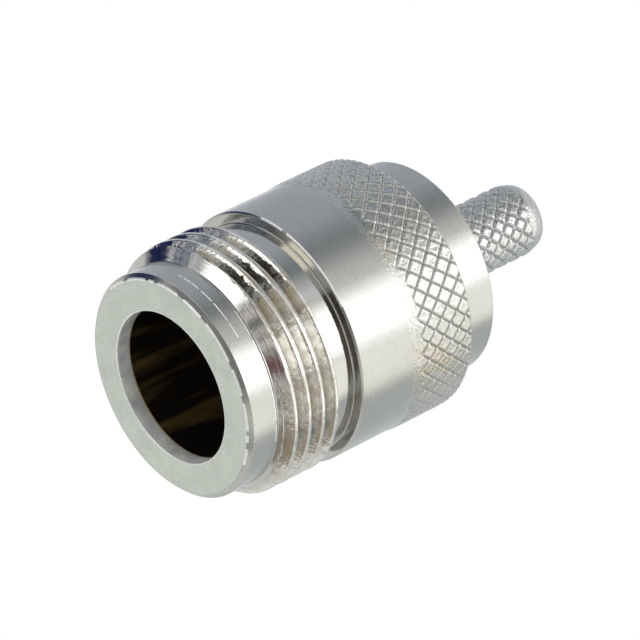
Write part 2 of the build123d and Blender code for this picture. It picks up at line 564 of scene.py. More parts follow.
@dataclass(frozen=True)
class Tarnish:
    """A patch of warm tarnish round one place."""

    colour: str
    place_mm: tuple[float, float, float]
    reach_mm: float
    share: float
    core: float = 0.3  # share of the reach within which it is full
    blotch_mm: float = 0.5
    blotch_limits: tuple[float, float] = (0.4, 0.62)

    def over(
        self, tree: bpy.types.NodeTree, point: bpy.types.NodeSocket, colour: bpy.types.NodeSocket
    ) -> bpy.types.NodeSocket:
        """Lays the patch over a colour, blotched by noise and fading out with the distance.

        Args:
            tree: the node tree.
            point: millimetre coordinates.
            colour: what the patch lies on.

        Returns:
            The tarnished colour.
        """
        apart = {0: point, 1: self.place_mm}
        away = add_node(tree, "ShaderNodeVectorMath", apart, operation="DISTANCE").outputs["Value"]
        full = self.core * self.reach_mm
        fall = {"Value": away, "From Min": self.reach_mm, "From Max": full, "To Max": self.share}
        near = add_node(tree, "ShaderNodeMapRange", fall)
        noise = add_node(tree, "ShaderNodeTexNoise", {"Vector": point, "Scale": 1 / self.blotch_mm})
        low, high = self.blotch_limits
        rise = {"Value": noise.outputs["Fac"], "From Min": low, "From Max": high}
        blotch = add_node(tree, "ShaderNodeMapRange", rise)
        both = {0: near.outputs[0], 1: blotch.outputs[0]}
        patch = add_node(tree, "ShaderNodeMath", both, operation="MULTIPLY")
        colours = {0: patch.outputs[0], 6: colour, 7: linear(self.colour)}
        return add_node(tree, "ShaderNodeMix", colours, data_type="RGBA").outputs[2]


@dataclass(frozen=True)
class PlatedMetal:
    """Electroplated metal over a turned or rolled surface."""

    name: str
    colour: str
    stain: str  # colour of the faint film that plating and handling leave
    pit_and_shade_colour: str  # colour of the speckled pits, and of the painted shade at the bottom of cuts
    roughness: float
    metallic: float = 1.0
    stain_share: float = 0.35
    stain_size_mm: float = 2.5
    stain_detail: float = 4.0
    stain_limits: tuple[float, float] = (0.35, 0.75)
    speckle_share: float = 0.0
    speckle_detail: float = 3.0
    speckle_limits: tuple[float, float] = (0.46, 0.72)
    line_spacing_mm: float = 0.16
    line_depth_mm: float = 0.0
    line_detail: float = 3.0
    grain_size_mm: float = 0.09
    grain_depth_mm: float = 0.0
    grain_detail: float = 2.0
    # share of the painted shade at the bottom of cuts
    cut_shade_share: float = 0.0
    unshaded_depth: float = 0.1  # share of a cut's depth down to which no painted shade is laid
    mottle_grains: float = 4.0  # size of the patches of other roughness
    mottle_limits: tuple[float, float] = (0.3, 0.7)
    mottle_share: float = 0.14
    tarnish: Tarnish | None = None

    def tint(self, tree: bpy.types.NodeTree, point: bpy.types.NodeSocket) -> bpy.types.NodeSocket:
        """Colour of the plate: film in soft clouds, fine speckle, painted shade in the cuts and tarnish.

        Args:
            tree: the node tree.
            point: millimetre coordinates.

        Returns:
            The colour.
        """
        film = (self.stain_size_mm, self.stain_detail, self.stain_limits, self.stain_share)
        colour = clouds(tree, point, *film, linear(self.colour), self.stain)
        if self.speckle_share:
            speckle = (self.speckle_detail, self.speckle_limits, self.speckle_share)
            colour = clouds(tree, point, self.grain_size_mm, *speckle, colour, self.pit_and_shade_colour)
        # painted shade: darker towards the bottom of grooves and roots, as the cut depth grows
        if self.cut_shade_share:
            cut = add_node(tree, "ShaderNodeAttribute", attribute_name="cut_depth")
            rise = {"Value": cut.outputs["Fac"], "From Min": self.unshaded_depth, "To Max": self.cut_shade_share}
            deep = add_node(tree, "ShaderNodeMapRange", rise)
            colours = {0: deep.outputs[0], 6: colour, 7: linear(self.pit_and_shade_colour)}
            colour = add_node(tree, "ShaderNodeMix", colours, data_type="RGBA").outputs[2]
        return self.tarnish.over(tree, point, colour) if self.tarnish else colour

    def material(self) -> bpy.types.Material:
        """Builds the finish.

        In words: the roughness rises in patches of a few grains, from its share less to its share
        more, as noise does between its limits, and the bump adds the tool's lines and the grain.

        Returns:
            The material.
        """
        material, tree, shader = blank_material(self.name)
        point, lathe = piece_coordinates(tree)
        tree.links.new(self.tint(tree, point), shader.inputs["Base Color"])
        shader.inputs["Metallic"].default_value = self.metallic
        size_mm = self.mottle_grains * self.grain_size_mm
        patches = {"Vector": point, "Scale": 1 / size_mm, "Detail": self.speckle_detail}
        mottle = add_node(tree, "ShaderNodeTexNoise", patches).outputs["Fac"]
        rise = {"Value": mottle, "From Min": self.mottle_limits[0], "From Max": self.mottle_limits[1]}
        rise["To Min"] = self.roughness * (1 - self.mottle_share)
        rise["To Max"] = self.roughness * (1 + self.mottle_share)
        rough = add_node(tree, "ShaderNodeMapRange", rise)
        tree.links.new(rough.outputs[0], shader.inputs["Roughness"])
        below = {}
        for vector, size_mm, detail, depth_mm in (
            (lathe, self.line_spacing_mm, self.line_detail, self.line_depth_mm),
            (point, self.grain_size_mm, self.grain_detail, self.grain_depth_mm),
        ):
            if depth_mm:
                inputs = {"Vector": vector, "Scale": 1 / size_mm, "Detail": detail}
                relief = add_node(tree, "ShaderNodeTexNoise", inputs).outputs["Fac"]
                bump = add_node(tree, "ShaderNodeBump", {"Height": relief, "Distance": depth_mm * MM} | below)
                below = {"Normal": bump.outputs[0]}
                tree.links.new(bump.outputs[0], shader.inputs["Normal"])
        return material


@dataclass(frozen=True)
class DarkBore:
    """Brass deep in the socket, painted brown-black as the shade there, with faint gold streaks along the
    axis as painted reflections.
    """

    name: str = "painted_shade_brass_bore"
    colour: str = "#211b16"
    streak_colour: str = "#97804a"
    metallic: float = 0.7
    roughness: float = 0.42
    streak_spacing_mm: float = 1.3
    streak_detail: float = 5.0
    streak_draw: float = 0.12  # how little the noise changes along the axis
    streak_limits: tuple[float, float] = (0.5, 0.75)

    def material(self) -> bpy.types.Material:
        """Builds the finish: noise drawn out along the axis picks where the painted reflection streaks show.

        Returns:
            The material.
        """
        material, tree, shader = blank_material(self.name)
        point, _ = piece_coordinates(tree)
        drawn = {0: point, 1: (1.0, 1.0, self.streak_draw)}
        along = add_node(tree, "ShaderNodeVectorMath", drawn, operation="MULTIPLY").outputs[0]
        streaks = (self.streak_spacing_mm, self.streak_detail, self.streak_limits, 1.0)
        colour = clouds(tree, along, *streaks, linear(self.colour), self.streak_colour)
        tree.links.new(colour, shader.inputs["Base Color"])
        shader.inputs["Metallic"].default_value = self.metallic
        shader.inputs["Roughness"].default_value = self.roughness
        return material


@dataclass(frozen=True)
class TurnedPtfe:
    """White PTFE turned from rod: waxy, with fine feed lines."""

    name: str = "turned_white_ptfe"
    colour: str = "#ecebe5"
    shade: str = "#dedcd2"
    shade_size_mm: float = 1.25
    shade_detail: float = 3.0
    roughness: float = 0.42
    line_spacing_mm: float = 0.12
    line_depth_mm: float = 0.004

    def material(self) -> bpy.types.Material:
        """Builds the finish: soft mottling in the colour and feed lines in the bump.

        Returns:
            The material.
        """
        material, tree, shader = blank_material(self.name)
        point, lathe = piece_coordinates(tree)
        shades = (self.shade_size_mm, self.shade_detail, (0.0, 1.0), 1.0)
        colour = clouds(tree, point, *shades, linear(self.colour), self.shade)
        tree.links.new(colour, shader.inputs["Base Color"])
        shader.inputs["Roughness"].default_value = self.roughness
        lines = add_node(tree, "ShaderNodeTexNoise", {"Vector": lathe, "Scale": 1 / self.line_spacing_mm})
        relief = {"Height": lines.outputs["Fac"], "Distance": self.line_depth_mm * MM}
        tree.links.new(add_node(tree, "ShaderNodeBump", relief).outputs[0], shader.inputs["Normal"])
        return material


# Warm tarnish on the grip, low on the side towards the camera.
GRIP_TARNISH = Tarnish("#b49a66", (5.8, -5.6, 13.8), 2.4, 0.4)

PLATING = {
    # Bright nickel over a finely turned barrel: nearly a mirror, softened by faint feed lines and pits.
    Finish.BARREL: PlatedMetal(
        "turned_nickel_plate",
        "#b3b4b0",
        "#a5a59d",
        "#6a6a68",
        0.21,
        speckle_share=0.16,
        line_depth_mm=0.0008,
        grain_size_mm=0.14,
        grain_depth_mm=0.0012,
    ),
    # The faced ring is duller and a little greenish, with a grain like fine emery, drawn coarser.
    Finish.FACE: PlatedMetal(
        "faced_nickel_plate",
        "#c8cec4",
        "#a4aba2",
        "#8f958c",
        0.36,
        stain_share=0.42,
        stain_size_mm=1.6,
        speckle_share=0.5,
        line_depth_mm=0.0006,
        grain_size_mm=0.10,
        grain_depth_mm=0.004,
    ),
    # Rolled diamonds are burnished on their edges, and painted shade darkens the bottom of the grooves.
    Finish.KNURL: PlatedMetal(
        "knurled_nickel_plate",
        "#bdbeba",
        "#aba99d",
        "#42413e",
        0.22,
        stain_share=0.5,
        speckle_share=0.35,
        grain_size_mm=0.16,
        grain_depth_mm=0.026,
        cut_shade_share=0.32,
        tarnish=GRIP_TARNISH,
    ),
    # Thread flanks show the chatter of the threading tool as broken streaks along the helix, drawn
    # coarser than the real chatter, which is too fine to show.
    Finish.THREAD: PlatedMetal(
        "threaded_nickel_plate",
        "#d4d4d1",
        "#a49b82",
        "#6a655b",
        0.08,
        stain_share=0.65,
        stain_size_mm=0.6,
        line_spacing_mm=0.3,
        line_depth_mm=0.012,
        grain_size_mm=0.42,
        grain_depth_mm=0.03,
        # painted shade darkens the roots of the thread
        cut_shade_share=0.35,
    ),
    # Gold-coloured flash that shows on the sharp inner edge of the mouth.
    Finish.EDGE: PlatedMetal("gold_flash_edge", "#dcc68c", "#b39a60", "#5a4a2a", 0.35, metallic=0.4),
    # Painted shade: the socket's brass is near black, as the shade deep inside it, with painted reflection
    # streaks.
    Finish.BORE: DarkBore(),
    # The short cylinder inside the mouth is satin; painted light: a near-white, barely metallic plate paints
    # it as lit, and bluish grey clouds paint the reflections on it.
    Finish.LIP: PlatedMetal(
        "painted_lit_nickel_mouth",
        "#f4f5f0",
        "#aab3b6",
        "#8f949c",
        0.34,
        metallic=0.15,
        stain_share=0.8,
        stain_size_mm=1.0,
        speckle_share=0.25,
        line_depth_mm=0.003,
    ),
    # The cone before the thread and the neck behind it were cut fine, and mirror more sharply.
    Finish.FINE: PlatedMetal(
        "fine_turned_nickel_plate",
        "#b5b6b3",
        "#a39f93",
        "#5a5a58",
        0.1,
        line_spacing_mm=0.3,
        line_depth_mm=0.006,
        grain_size_mm=0.5,
        grain_depth_mm=0.006,
    ),
    # Painted highlight on edges: a near-white, half-metallic plate that stands in for glints.
    Finish.RIM: PlatedMetal(
        "painted_highlight_nickel_edge",
        "#f2f3f1",
        "#dcddda",
        "#a2a3a0",
        0.3,
        metallic=0.5,
        speckle_share=0.5,
        grain_depth_mm=0.006,
    ),
}
# The stem's knurl has darker painted shade in its grooves, and is rough enough to sparkle.
CRIMP_KNURL = PlatedMetal(
    "crimp_stem_nickel_plate",
    "#bfc1bf",
    "#a6a8a5",
    "#383838",
    0.21,
    stain_share=0.5,
    speckle_share=0.36,
    grain_size_mm=0.15,
    grain_depth_mm=0.034,
    cut_shade_share=0.42,
)
# Gold plate over the turned contact: warm and soft, with fine feed lines.
GOLD_PLATE = PlatedMetal(
    "gold_plated_contact", "#d8b465", "#c49a4c", "#6e5424", 0.26, line_spacing_mm=0.08, line_depth_mm=0.0015
)


@dataclass(frozen=True)
class EdgeGlint:
    """Painted highlights along an edge, between two angles from -Y towards +X."""

    start_degrees: float
    end_degrees: float
    gaps: float  # from -2, where the painted highlight runs all along the edge, upwards
    beats: tuple[int, int] = (17, 41)

    def columns(self, skin: Skin) -> np.ndarray:
        """Picks the columns where the edge gets the painted highlight.

        In words: those between the two angles where two sines of the angle add up to more than
        the gaps.

        Args:
            skin: the surface.

        Returns:
            One truth value for each column.
        """
        angle = np.mod(skin.angles() - radians(self.start_degrees - 90), tau)
        chips = sum(np.sin(beat * angle) for beat in self.beats)
        return (angle < radians(self.end_degrees - self.start_degrees)) & (chips > self.gaps)


@dataclass(frozen=True)
class ToolLine:
    """Scratch that the threading tool left part of the way round the pilot, with a painted highlight on its
    deeper faces.
    """

    level: float = 1.20
    depth: float = 0.025
    half_width: float = 0.035
    guard: float = 1.5  # half widths to the rows that keep the pilot beside it evenly shaded
    wander: float = 0.018
    start_degrees: float = -58.0  # from -Y towards +X
    end_degrees: float = -2.0
    rise: float = 0.2  # share of its length over which it deepens
    fall: float = 0.75  # share from which it runs out
    beats: tuple[int, int, int] = (5, 13, 9)  # waves along it: two that break it, one that it wanders by
    gaps: tuple[float, float] = (-1.5, -0.8)  # sum of the two sines that breaks it, and that leaves it whole
    glint_from: float = 0.25  # share of the depth from which its faces get the painted highlight

    def ends(self) -> tuple[float, float]:
        """Levels of its first and last row."""
        return self.level - self.guard * self.half_width, self.level + self.guard * self.half_width

    def lay(self, skin: Skin, radius: float) -> None:
        """Lays the scratch.

        In words: the depth rises and falls smoothly within the two angles, the sum of two sines
        along it breaks it in a few places, and another sine lets its bottom wander.

        Args:
            skin: the surface that gets it.
            radius: the pilot's radius.
        """
        start, end = (radians(angle - 90) for angle in (self.start_degrees, self.end_degrees))
        share = np.mod(skin.angles() - start, tau) / (end - start)
        inside = smooth_step(share, 0, self.rise) * (1 - smooth_step(share, self.fall, 1))
        first, second, sway = (np.sin(share * beat * tau) for beat in self.beats)
        whole = inside * smooth_step(first + second, *self.gaps)
        bottom = np.array([[0], [0], [1], [0], [0]])
        height = self.level + np.array([[-self.guard], [-1], [0], [1], [self.guard]]) * self.half_width
        height = height + bottom * (self.wander * inside * sway)
        rows = skin.lay(radius - self.depth * bottom * whole, height, skin.angles(), np.zeros((1, 1)))
        skin.attach(rows, Finish.BARREL)
        skin.sleeve(rows[:2], Finish.BARREL)
        # the deeper faces of the scratch get the painted highlight of the rim finish
        skin.sleeve(rows[1:4], Finish.BARREL, whole > self.glint_from)
        skin.sleeve(rows[3:], Finish.BARREL)


@dataclass
class Shell:
    """Turned shell: faced ring, pilot, coupling thread, neck, barrel, knurled grip and bore."""

    columns: int = 264  # half the knurl's lattice, so that the rings join two to one
    ring_middle_radius: float = 5.80
    ring_glint: EdgeGlint = EdgeGlint(-100, 60, -0.9)
    pilot_radius: float = 7.10
    pilot_chamfer: float = 0.28
    pilot_length: float = 2.20
    pilot_glint: EdgeGlint = EdgeGlint(-20, 50, -1.2)
    rim_width: float = 0.07
    tool_line: ToolLine = ToolLine()
    relief_level: float = 2.08
    relief_depth: float = 0.04
    relief_half_width: float = 0.04
    thread: CouplingThread = CouplingThread()
    thread_end: float = 6.40
    neck_radius: float = 7.2975
    shoulder_level: float = 7.95
    barrel_radius: float = 8.00
    barrel_edge: float = 0.10
    barrel_glint: EdgeGlint = EdgeGlint(-57, 4, -1.5)
    grip_knurl: DiamondKnurl = DiamondKnurl(44, 1.22, 0.08, 0.12, dish=0.024, ragged=0.07)
    grip_start: float = 12.42
    grip_leads: tuple[float, float] = (0.4, 0.3)  # before it the barrel's rings end, and the lattice begins
    grip_height: float = 0.08
    grip_rise: float = 0.75  # the band swells over this length, and the grooves deepen
    rise_leads: tuple[float, float] = (0.1, 0.05)  # the swelling and the grooves begin this much earlier
    grip_bevel: float = 0.14
    length: float = 16.78
    rear_bore_radius: float = 5.60
    rear_bore_chamfer: float = 0.20
    flange_level: float = 10.50
    air_line_radius: float = 3.50
    socket_depth: float = 9.30
    socket_radius: float = 5.00
    seat_ring: float = 0.20  # of the seat, with the socket's painted shade
    mouth_radius: float = 4.80
    mouth_length: float = 1.05
    mouth_edge: float = 0.05
    flash_width: float = 0.04
    flash_length: float = 0.11
    lip_rim: float = 0.03
    edge_round: float = 0.03
    mouth_round: float = 0.02
    inner_round: float = 0.06
    inner_arc_steps: int = 2

    def front(self, skin: Skin) -> None:
        """Lays the faced ring, the chamfer and the pilot up to the thread.

        Args:
            skin: the surface that gets them.
        """
        rim, pilot = self.rim_width, self.pilot_radius
        edge = pilot - self.pilot_chamfer
        line_start, line_end = self.tool_line.ends()
        relief = self.relief_level - self.relief_half_width
        corner = (pilot, self.pilot_chamfer, self.edge_round)
        skin.turn([(self.ring_middle_radius, 0), (edge - rim, 0)], Finish.FACE)
        # the chamfer's edge gets a jagged painted highlight over part of the way round
        glinting = self.ring_glint.columns(skin)
        skin.turn([(edge - rim, 0), (edge, 0, rim), (edge + rim, rim)], Finish.BARREL, glinting)
        skin.turn([(edge + rim, rim), corner, (pilot, line_start)], Finish.BARREL)
        self.tool_line.lay(skin, pilot)
        skin.turn([(pilot, line_end), (pilot, relief - rim)], Finish.BARREL)
        # the pilot's edge before the relief groove gets a painted highlight over part of the way round
        glinting = self.pilot_glint.columns(skin)
        skin.turn([(pilot, relief - rim), (pilot, relief)], Finish.BARREL, glinting)
        groove = [(pilot, relief), (pilot - self.relief_depth, self.relief_level)]
        end = [(pilot, self.relief_level + self.relief_half_width), (pilot, self.pilot_length)]
        skin.turn(groove + end, Finish.BARREL)

    def middle(self, skin: Skin) -> None:
        """Lays the neck, the shoulder and the smooth barrel, with a painted highlight on its front edge.

        Args:
            skin: the surface that gets them.
        """
        rim, barrel, shoulder = self.rim_width, self.barrel_radius, self.shoulder_level
        edge, corner = barrel - self.barrel_edge - rim, shoulder + self.barrel_edge
        root = (self.neck_radius, shoulder, self.inner_round)
        skin.turn([(self.neck_radius, self.thread_end), root, (edge, shoulder)], Finish.FINE)
        chamfer = (edge + rim, shoulder, self.edge_round)
        skin.turn([(edge, shoulder), chamfer, (barrel - rim, corner - rim)], Finish.BARREL)
        bend = [(barrel - rim, corner - rim), (barrel, corner, self.edge_round), (barrel, corner + rim / 2)]
        # the barrel's front edge gets a painted highlight over part of the way round
        skin.turn(bend, Finish.BARREL, self.barrel_glint.columns(skin))
        skin.turn([(barrel, corner + rim / 2), (barrel, self.grip_start - self.grip_leads[0])], Finish.BARREL)

    def grip(self, skin: Skin) -> None:
        """Lays the knurled band: its grooves fade in over the front edge and run out through the rear one.

        In words: the radius swells from the barrel's to the grip's by a smooth step, and the
        grooves' depth rises by another.

        Args:
            skin: the surface that gets it.
        """
        start, end = self.grip_start, self.grip_start + self.grip_rise
        swell_lead, fade_lead = self.rise_leads

        def envelope(height: np.ndarray) -> np.ndarray:
            """The barrel's radius, swelling smoothly to the grip's."""
            return self.barrel_radius + self.grip_height * smooth_step(height, start - swell_lead, end)

        def fade(height: np.ndarray) -> np.ndarray:
            """Depth of the grooves near the front edge."""
            return smooth_step(height, start - fade_lead, end)

        bevel = self.length - self.grip_bevel
        self.grip_knurl.weave(skin, start - self.grip_leads[1], bevel, envelope, fade)
        skin.turn([(self.barrel_radius + self.grip_height - self.grip_bevel, self.length)], Finish.KNURL)

    def inside(self, skin: Skin) -> None:
        """Lays the rear face, the bores, the seat, the socket painted dark as shade, and the mouth, back to
        the faced ring.

        Args:
            skin: the surface that gets them.
        """
        soft, edge, mouth, fine = self.inner_round, self.edge_round, self.mouth_radius, self.mouth_round
        seat = (self.socket_radius - self.seat_ring, self.socket_depth)
        flash = (mouth + self.flash_width, self.mouth_length)
        lip = (mouth, self.mouth_length - self.flash_length)
        rim = (mouth, self.mouth_edge + self.lip_rim)
        ring = (mouth + self.mouth_edge + self.lip_rim, 0)
        bores = [
            (self.barrel_radius + self.grip_height - self.grip_bevel, self.length),
            (self.rear_bore_radius + self.rear_bore_chamfer, self.length, edge),
            (self.rear_bore_radius, self.length - self.rear_bore_chamfer, edge),
            (self.rear_bore_radius, self.flange_level, soft),
            (self.air_line_radius, self.flange_level, soft),
            (self.air_line_radius, self.socket_depth, edge),
            seat,
        ]
        socket = [(self.socket_radius, self.socket_depth, soft)]
        socket += [(self.socket_radius, self.mouth_length, fine)]
        skin.turn(bores, Finish.BARREL, arc_steps=self.inner_arc_steps)
        # the seat's ring and the socket get the bore's painted shade
        skin.turn([seat, *socket, flash], Finish.BORE, arc_steps=self.inner_arc_steps)
        skin.turn([flash, lip], Finish.EDGE)
        skin.turn([lip, rim], Finish.LIP)
        # the mouth's rounded edge gets the painted highlight all the way round
        skin.turn([rim, (mouth, self.mouth_edge, fine), (mouth + self.mouth_edge, 0, fine), ring], Finish.RIM)
        skin.turn([ring, (self.ring_middle_radius, 0)], Finish.FACE)

    def build(self, finishes: list[bpy.types.Material]) -> bpy.types.Object:
        """Makes the shell as one closed surface.

        Args:
            finishes: the materials in the order of Finish.

        Returns:
            The dressed piece.
        """
        skin = Skin(self.columns)
        self.front(skin)
        self.thread.cut(skin, self.pilot_length, self.thread_end, self.pilot_radius)
        self.middle(skin)
        self.grip(skin)
        self.inside(skin)
        return dress(skin.close("plated_shell", finishes), "shell")


@dataclass
class RearBody:
    """Turned collar with the spigot in front and the knurled, hollow crimp stem behind."""

    spigot_radius: float = 5.58
    spigot_chamfer: float = 0.30
    spigot_level: float = 13.00
    spigot_middle_radius: float = 4.00
    bore_radius: float = 3.50
    bore_level: float = 18.00
    collar_radius: float = 6.80
    collar_start: float = 16.78
    collar_end: float = 19.73
    collar_edge: float = 0.12
    stem_radius: float = 2.30
    stem_end: float = 28.48
    stem_knurl: DiamondKnurl = DiamondKnurl(14, 1.03, 0.10, 0.22, dish=0.012, ragged=0.05)
    knurl_margin: float = 0.10  # smooth ring at the root of the stem
    knurl_gap: float = 0.05  # between the lattice and the plain rings beside it
    knurl_rise: float = 0.15  # length over which the grooves deepen
    knurl_run_out: tuple[float, float] = (1.45, 0.85)  # before the end they begin to fade, and are gone
    nose_length: float = 1.10
    nose_drop: float = 0.20
    nose_round: float = 0.30
    nose_blend: float = 0.20  # the nose begins to draw in this much earlier, and gently
    nose_power: float = 1.7
    nose_soft: float = 0.10
    cable_bore_radius: float = 1.60
    cable_bore_flare: float = 0.15
    edge_round: float = 0.03
    inner_round: float = 0.06
    joint_round: float = 0.02
    root_round: float = 0.04

    def envelope(self, height: np.ndarray) -> np.ndarray:
        """The stem's radius, less the nose's drop times a power of the share of the nose that is past.

        Args:
            height: levels along the axis.

        Returns:
            The radius over the diamonds' edges.
        """
        start = self.stem_end - self.nose_length - self.nose_blend
        past = np.clip((height - start) / (self.stem_end - self.nose_round - start), 0, 1)
        return self.stem_radius - self.nose_drop * past**self.nose_power

    def fade(self, height: np.ndarray) -> np.ndarray:
        """Depth of the grooves, by smooth steps: they begin at the collar and run out on the nose.

        Args:
            height: levels along the axis.

        Returns:
            The share of the full depth.
        """
        base = self.collar_end + self.knurl_margin
        fading, gone = (self.stem_end - before for before in self.knurl_run_out)
        return smooth_step(height, base, base + self.knurl_rise) * (1 - smooth_step(height, fading, gone))

    def build(self, finishes: list[bpy.types.Material]) -> bpy.types.Object:
        """Makes the rear body as one closed surface.

        Args:
            finishes: the materials in the order of Finish.

        Returns:
            The dressed piece.
        """
        skin = Skin(self.stem_knurl.starts * self.stem_knurl.cells)
        edge, inner, tip, soft = self.edge_round, self.inner_round, self.stem_end, self.nose_soft
        nose = self.stem_radius - self.nose_drop
        margin = self.collar_end + self.knurl_margin
        collar = [
            (self.spigot_middle_radius, self.spigot_level),
            (self.spigot_radius - self.spigot_chamfer, self.spigot_level, edge),
            (self.spigot_radius, self.spigot_level + self.spigot_chamfer, edge),
            (self.spigot_radius, self.collar_start, self.joint_round),
            (self.collar_radius, self.collar_start, self.joint_round),
            (self.collar_radius, self.collar_end - self.collar_edge, inner),
            (self.collar_radius - self.collar_edge, self.collar_end, inner),
            (self.stem_radius, self.collar_end, self.root_round),
            (self.stem_radius, margin),
        ]
        end = [
            (nose, tip - self.nose_round),
            (nose - soft, tip - soft, soft),
            (nose - self.nose_round, tip, soft),
            (self.cable_bore_radius + self.cable_bore_flare, tip, edge),
            (self.cable_bore_radius, tip - self.cable_bore_flare, edge),
            (self.cable_bore_radius, self.bore_level, edge),
            (self.bore_radius, self.bore_level, inner),
            (self.bore_radius, self.spigot_level, edge),
            (self.spigot_middle_radius, self.spigot_level),
        ]
        skin.turn(collar, Finish.BARREL)
        first, last = margin + self.knurl_gap, tip - self.nose_round - self.knurl_gap
        self.stem_knurl.weave(skin, first, last, self.envelope, self.fade)
        skin.turn(end, Finish.BARREL)
        return dress(skin.close("plated_rear_body", finishes), "rear_body")


@dataclass
class Insulators:
    """Turned PTFE insulators: a flanged one in front, and a plain bush behind it."""

    columns: int = 120
    core_radius: float = 3.48
    flange_radius: float = 5.58
    chamfer: float = 0.20
    soft: float = 0.04  # rounding of every corner
    nose_level: float = 9.30
    flange_level: float = 10.50
    joint_level: float = 13.00
    end_level: float = 18.00
    contact_hole: float = 1.54
    contact_flange_hole: float = 2.12
    contact_flange_level: float = 12.00
    wire_hole: float = 1.07
    front_middle: float = 2.50  # where the front one's outline begins and ends, on its nose
    rear_middle: float = 2.00

    def front(self) -> list[tuple[float, ...]]:
        """Outline of the flanged insulator.

        Returns:
            Radius, height and rounding of each corner, from the nose all the way round to it.
        """
        core, soft, start = self.core_radius, self.soft, (self.front_middle, self.nose_level)
        return [
            start,
            (core - self.chamfer, self.nose_level, soft),
            (core, self.nose_level + self.chamfer, soft),
            (core, self.flange_level, soft),
            (self.flange_radius, self.flange_level, soft),
            (self.flange_radius, self.joint_level, soft),
            (self.contact_flange_hole, self.joint_level, soft),
            (self.contact_flange_hole, self.contact_flange_level, soft),
            (self.contact_hole, self.contact_flange_level, soft),
            (self.contact_hole, self.nose_level, soft),
            start,
        ]

    def rear(self) -> list[tuple[float, ...]]:
        """Outline of the plain bush.

        Returns:
            Radius, height and rounding of each corner, from the front face all the way round to it.
        """
        core, soft, start = self.core_radius, self.soft, (self.rear_middle, self.joint_level)
        return [
            start,
            (core - self.chamfer, self.joint_level, soft),
            (core, self.joint_level + self.chamfer, soft),
            (core, self.end_level, soft),
            (self.wire_hole, self.end_level, soft),
            (self.wire_hole, self.joint_level, soft),
            start,
        ]

    def build(self, finish: bpy.types.Material) -> list[bpy.types.Object]:
        """Makes both insulators, each a closed outline carried round the axis.

        Args:
            finish: their material.

        Returns:
            The dressed pieces.
        """
        pieces = []
        for name, node, outline in (
            ("front_ptfe", "front_insulator", self.front()),
            ("rear_ptfe", "rear_insulator", self.rear()),
        ):
            skin = Skin(self.columns)
            skin.turn(outline, 0)
            pieces.append(dress(skin.close(name, [finish]), node))
        return pieces


